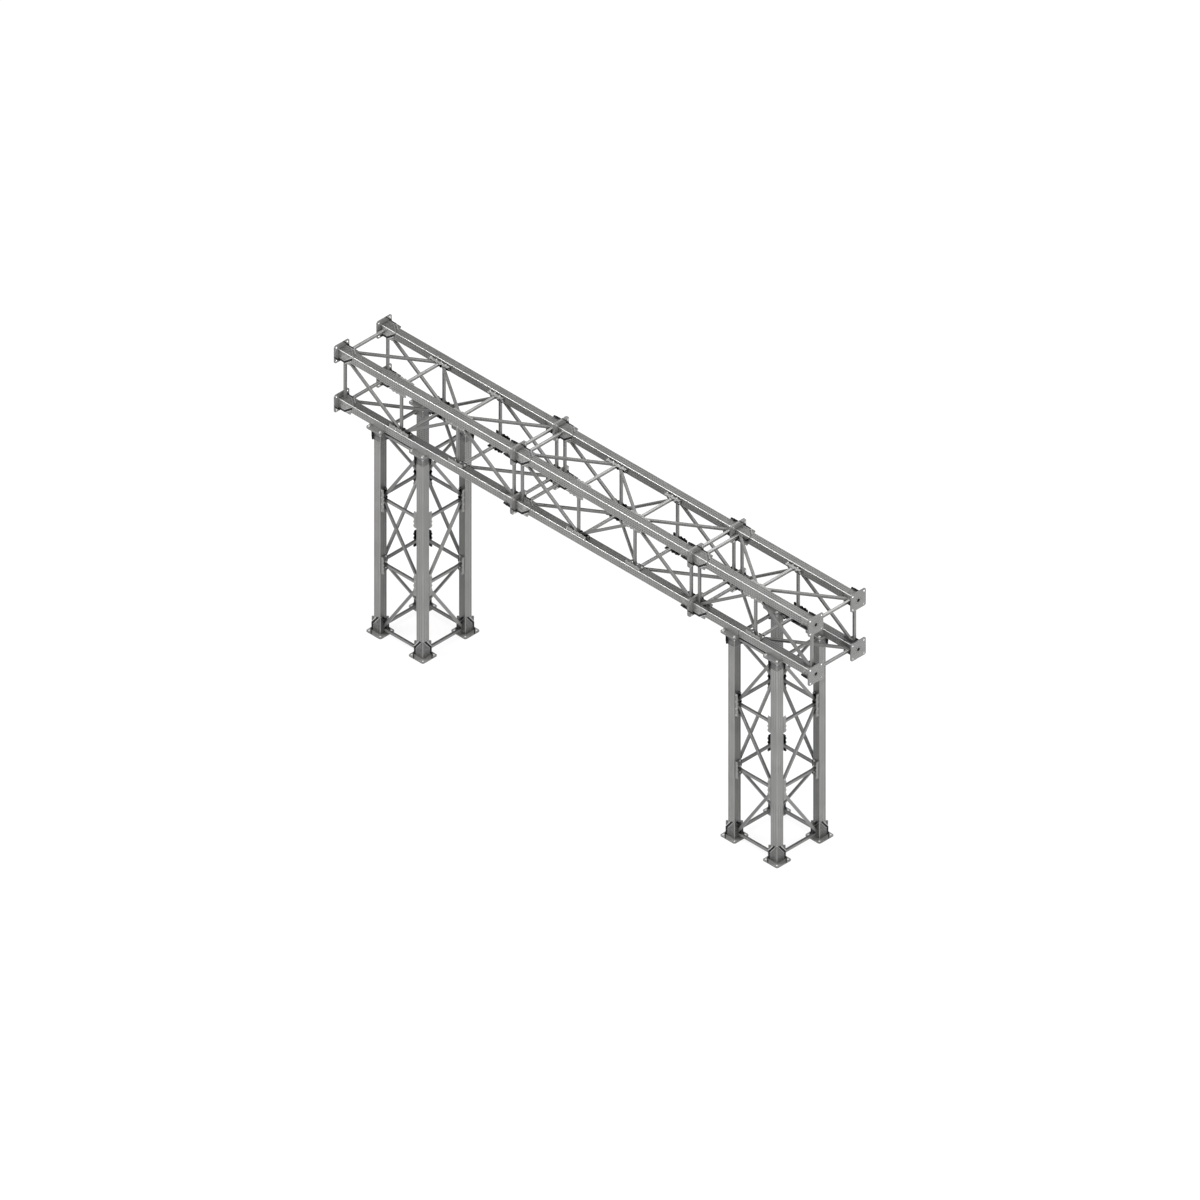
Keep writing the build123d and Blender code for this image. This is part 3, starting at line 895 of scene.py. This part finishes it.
# ---- Brackets ---------------------------------------------------------------
# At each node a strip is bolted to the girder in a zigzag of M10 bolts. A toothed plate stands
# on it just inside the girder's outer face, painted black as shade on the side that faces in, and
# where diagonals arrive a gusset painted black as shade stands behind the bars as well. At a
# frame's ends only a gusset is welded to the shoe.
strip_half_width = 0.030
plain_reach = 0.100
long_reach = 0.135
gusset_height = 0.034
gusset_thickness = 0.004
gusset_cut = 0.016
outer_height = 0.040
outer_bolt_height = 0.018
outer_set_back = 0.006
top_set_back = 0.026
tooth_pitch = 0.048
tooth_depth = 0.009
gusset_bolt_height = 0.024
tooth_lean = 0.004
face_bolt_places = (-0.122, -0.042, 0.042, 0.122)
strip_ease = 0.008
end_margin = 0.016
seat_bolt_steps = (
    (0.0105, 0.0, 0.0), (0.0105, 0.0018, 0.0), (0.0085, 0.0018, 1.0),
    (0.0085, 0.0072, 1.0), (0.0082, 0.0084, 0.0),
)
bracket_light = (0.15, 0.15, 0.148)
bracket_dark = (0.08, 0.08, 0.079)
gusset_shade_light = (0.022, 0.022, 0.023)
gusset_shade_dark = (0.010, 0.010, 0.011)


def slab(outline, low, high, edge=0.0007):
    """Rings of a flat plate with eased edges, from its outline, counter-clockwise.

    Each corner moves in by the eased width along the bisector of its two sides, divided by the
    cosine of half the turn there, and the four rings are inset, full, full, inset.
    """
    outline = np.asarray(outline, float)
    before = unit(outline - np.roll(outline, 1, 0))
    after = unit(np.roll(outline, -1, 0) - outline)
    inward = np.stack([-before[:, 1] - after[:, 1], before[:, 0] + after[:, 0]], 1)
    inward = inward / (1 + (before * after).sum(1, keepdims=True))
    rings = []
    for inset, height in ((edge, low), (0.0, low + edge), (0.0, high - edge), (edge, high)):
        level = np.full((len(outline), 1), height)
        rings.append(np.concatenate([outline + inset * inward, level], 1))
    return np.stack(rings)


def bracket_places(length, bays, first_rises):
    """(along, side, whether diagonals arrive there, at an end the way in or else 0) of brackets."""
    bay = (length - 2 * station_offset) / bays
    met = set()
    for j in range(bays):
        sign = 1 if (j % 2 == 0) == first_rises else -1
        met |= {(j, -sign), (j + 1, sign)}
    way_in = {0: 1, bays: -1}
    places = []
    for k, side in product(range(bays + 1), (-1, 1)):
        if (k, side) in met or k not in way_in:
            along = station_offset + k * bay
            places.append((along, side, (k, side) in met, way_in.get(k, 0)))
    return places


def on_girder(plate, side):
    """Turns a plate drawn as (along, outward, height off the girder) to lie on a girder's face."""
    laid = np.stack([plate[..., 0], side * (edge_of_girder - plate[..., 2]), plate[..., 1]], -1)
    return laid[:, ::-1] if side < 0 else laid


def standing_plate(shape, side, low, high):
    """A plate that stands off a girder: shape is (along, height off the girder's face) corners."""
    outline = np.array(shape) * (1, -side) + (0, side * edge_of_girder)
    after = np.roll(outline, -1, 0)
    signed_area = np.sum(outline[:, 0] * after[:, 1] - outline[:, 1] * after[:, 0])
    return slab(outline if signed_area > 0 else outline[::-1], low, high)


def toothed(left, right, tip):
    """Outline of a plate from the girder up to teeth a pitch apart, as (along, height) corners.

    A tooth rises over tooth_lean, stays level to half a pitch and falls over tooth_lean again.
    """
    foot = tip - tooth_depth
    starts = np.arange(left + 0.006, right - tooth_pitch / 2, tooth_pitch)
    half_pitch = tooth_pitch / 2
    along = starts[:, None] + np.array([0.0, tooth_lean, half_pitch, half_pitch + tooth_lean])
    height = np.broadcast_to([foot, tip, tip, foot], along.shape)
    teeth = np.stack([along, height], -1).reshape(-1, 2)
    return np.concatenate([[(left, 0.0), (left, foot)], teeth, [(right, foot), (right, 0.0)]])


def bracket_rings(length, bays, first_rises, set_back):
    """Strips, gussets, outer plates, strip bolts, face bolts and end gussets of a lattice.

    All are in (along, across, outward), and a strip bolt has the side it looks to as well.
    """
    strips, gussets, outers, seats, face_bolts, end_gussets = [], [], [], [], [], []
    tip = seat + gusset_height
    inner_side = (-bar_half_depth - gusset_thickness, -bar_half_depth)
    outside = half_girder - set_back
    low, high = -strip_half_width, outside
    for x, side, has_diagonals, facing in bracket_places(length, bays, first_rises):
        if facing:
            back, front = x - facing * bar_half_width, x + facing * long_reach
            slanted = [(front - facing * gusset_cut, tip), (front, tip - gusset_cut)]
            shape = [(back, seat), (back, tip), *slanted, (front, seat)]
            end_gussets.append(standing_plate(shape, side, *inner_side))
            continue
        if has_diagonals:
            left, right = x - long_reach, x + long_reach
            gussets.append(standing_plate(toothed(left, right, tip), side, *inner_side))
            count, bolt_rows = 8, (0.019, -0.019)
            for along in face_bolt_places:
                gusset_bolt = side * (edge_of_girder - gusset_bolt_height)
                outer_bolt = side * (edge_of_girder - outer_bolt_height)
                face_bolts.append((x + along, gusset_bolt, -bar_half_depth))
                face_bolts.append((x + along, outer_bolt, outside))
        else:
            left, right = x - plain_reach, x + plain_reach
            count, bolt_rows = 6, (0.021, -0.019)
        shape = toothed(left, right, seat + outer_height)
        outers.append(standing_plate(shape, side, outside - gusset_thickness, outside))
        ease = strip_ease
        corners = [
            (left + ease, low), (right - ease, low), (right, low + ease), (right, high - ease),
            (right - ease, high), (left + ease, high), (left, high - ease), (left, low + ease),
        ]
        strips.append(on_girder(slab(corners, 0.0, seat, 0.0015), side))
        for number, along in enumerate(np.linspace(left + end_margin, right - end_margin, count)):
            seats.append((along, side * (edge_of_girder - seat), bolt_rows[number % 2], -side))
    return strips, gussets, outers, np.array(seats), np.array(face_bolts), end_gussets


def bracket_finish(name, light, dark, axis=None):
    """Pressed steel under zinc, stained darker in patches.

    With axis, the middle line of a frame as (lengthwise, centre), faces that look in towards it
    are painted black as shade: there (place - centre) . facing is below nought.
    """
    finish = Finish(name)
    colour, rough, crystal, streak = finish.zinc(light, dark)
    if axis is not None:
        lengthwise, centre = axis
        place, facing = finish.axes(finish.place), finish.axes(finish.facing)
        first, second = [way for way in range(3) if way != lengthwise]
        outwards = (place[first] - centre[first]) * facing[first]
        outwards = outwards + (place[second] - centre[second]) * facing[second]
        # painted shade: faces that look in towards the middle line are painted black
        colour = finish.blend(outwards < -0.05, colour, gusset_shade_dark)
    stain = finish.noise(finish.place, 38.0, 5.0).slope(0.5, 0.66)
    colour = finish.blend(stain * 0.4, colour, dark)
    return finish.metal(colour, rough + 0.1 * stain, 0.8, 0.06 * crystal - 0.1 * stain, 0.001)


strip_zinc = bracket_finish("strip_zinc", bracket_light, bracket_dark)
# painted shade: the gussets are painted near black all over
gusset_shade = bracket_finish("gusset_shade", gusset_shade_light, gusset_shade_dark)
outer_zinc = {}
for owner in frames + towers:
    line = (2, middle_line[owner]) if owner in towers else (0, truss_line)
    outer_zinc[owner] = bracket_finish("outer_zinc_" + owner, zinc_light, zinc_dark, line)
for owner, face, origin, ways, length, bays, climbs in lattices:
    set_back = top_set_back if face == "top" else outer_set_back
    rings_and_bolts = bracket_rings(length, bays, climbs, set_back)
    strips, gussets, outers, seats, face_bolts, end_gussets = rings_and_bolts
    for kind, shapes, finish in (
        ("strips", strips + end_gussets, strip_zinc),
        ("gussets", gussets, gusset_shade),
        ("plates", outers, outer_zinc[owner]),
    ):
        batches = [set_down(shape[None], origin, ways) for shape in shapes]
        if batches:
            piece(owner + "_bracket_" + kind + "_" + face, batches, finish)
    if len(seats):
        ways = np.array(ways, float)
        heads = origin + seats[:, :3] @ ways
        head_batch = copies(turned(seat_bolt_steps), heads, stood_on(seats[:, 3:] * ways[1]))
        heads = origin + face_bolts @ ways
        normals = np.tile(ways[2], (len(heads), 1))
        face_batch = copies(turned(clamp_steps), heads, stood_on(normals))
        piece(owner + "_bracket_bolts_" + face, [head_batch, face_batch], bolt_zinc)

# ---- Floor, light and camera ------------------------------------------------
# The bridge stands on a plain floor that glows white by itself and returns little light, so
# thin bars keep their edges against it. Soft boxes stand front left, overhead and right.
floor_half = 40.0
floor_drop = 0.0008
floor_light = (0.16, 0.16, 0.16)
floor_dark = (0.15, 0.15, 0.15)
near_glow = (0.83, 0.83, 0.83)
far_glow = (0.92, 0.92, 0.92)
surround_strength = 0.44
aim_height = 1.6


def level_sheet(name, half, z, count):
    """A flat grid at height z: x and y run evenly from -half to half in count points each."""
    steps = np.linspace(-half, half, count)
    x, y = np.meshgrid(steps, steps)
    points = np.stack([x, y, np.full_like(x, z)], -1).reshape(-1, 3)
    index = np.arange(count ** 2).reshape(1, count, count)
    quads = quad_corners(index[..., :-1], index[..., 1:])
    mesh = bpy.data.meshes.new(name)
    mesh.from_pydata(points.tolist(), [], quads.reshape(-1, 4).tolist())
    return put_in_scene(name, mesh)


floor = level_sheet("studio_floor", floor_half, -floor_drop, 9)
floor_paint = Finish("pale_floor")
patches = floor_paint.noise(floor_paint.place, 0.4)
floor_colour = floor_paint.blend(patches, floor_dark, floor_light)
# distance = root of (x squared + y squared); the glow grows with it from near_glow to far_glow
floor_x, floor_y, _ = floor_paint.axes(floor_paint.place)
distance = floor_x.across_from(floor_y)
glow = floor_paint.blend(distance.slope(3.0, 14.0), near_glow, far_glow)
floor.data.materials.append(floor_paint.metal(floor_colour, 0.9, 0.0, glow=glow))

surround = bpy.data.worlds.new("studio_surround")
surround.use_nodes = True
sky = surround.node_tree.nodes["Background"].inputs
sky["Color"].default_value = (1.0, 1.0, 1.0, 1.0)
sky["Strength"].default_value = surround_strength
bpy.context.scene.world = surround
bpy.context.scene.view_settings.view_transform = "Standard"


def soft_box(name, towards, distance, size, power):
    """A square lamp of that size in metres, aimed at the middle of the bridge from a direction."""
    lamp = bpy.data.lights.new(name, "AREA")
    lamp.shape = "SQUARE"
    lamp.size = size
    lamp.energy = power
    holder = put_in_scene(name, lamp)
    direction = Vector(towards).normalized()
    holder.visible_camera = False
    holder.location = Vector((0.0, 0.0, aim_height)) + direction * distance
    holder.rotation_euler = direction.to_track_quat("Z", "Y").to_euler()


soft_box("key_box", (-1.0, -1.0, 1.0), 14.0, 5.0, 990.0)
soft_box("top_box", (0.0, 0.0, 1.0), 9.0, 14.0, 1440.0)
soft_box("side_box", (1.0, -0.15, 0.35), 14.0, 6.0, 1040.0)

view_azimuth = math.radians(45.0)
view_elevation = math.radians(35.264)
frame_width = 11.974
frame_right = 0.002
frame_up = 1.331
camera_distance = 25.0
back = Vector((
    math.sin(view_azimuth) * math.cos(view_elevation),
    -math.cos(view_azimuth) * math.cos(view_elevation),
    math.sin(view_elevation),
))
right = Vector((math.cos(view_azimuth), math.sin(view_azimuth), 0.0))
up = back.cross(right)
lens = bpy.data.cameras.new("studio_camera")
lens.type = "ORTHO"
lens.ortho_scale = frame_width
lens.clip_start = 0.1
lens.clip_end = 200.0
camera = put_in_scene("studio_camera", lens)
camera.location = back * camera_distance + right * frame_right + up * frame_up
camera.rotation_euler = back.to_track_quat("Z", "Y").to_euler()
bpy.context.scene.camera = camera
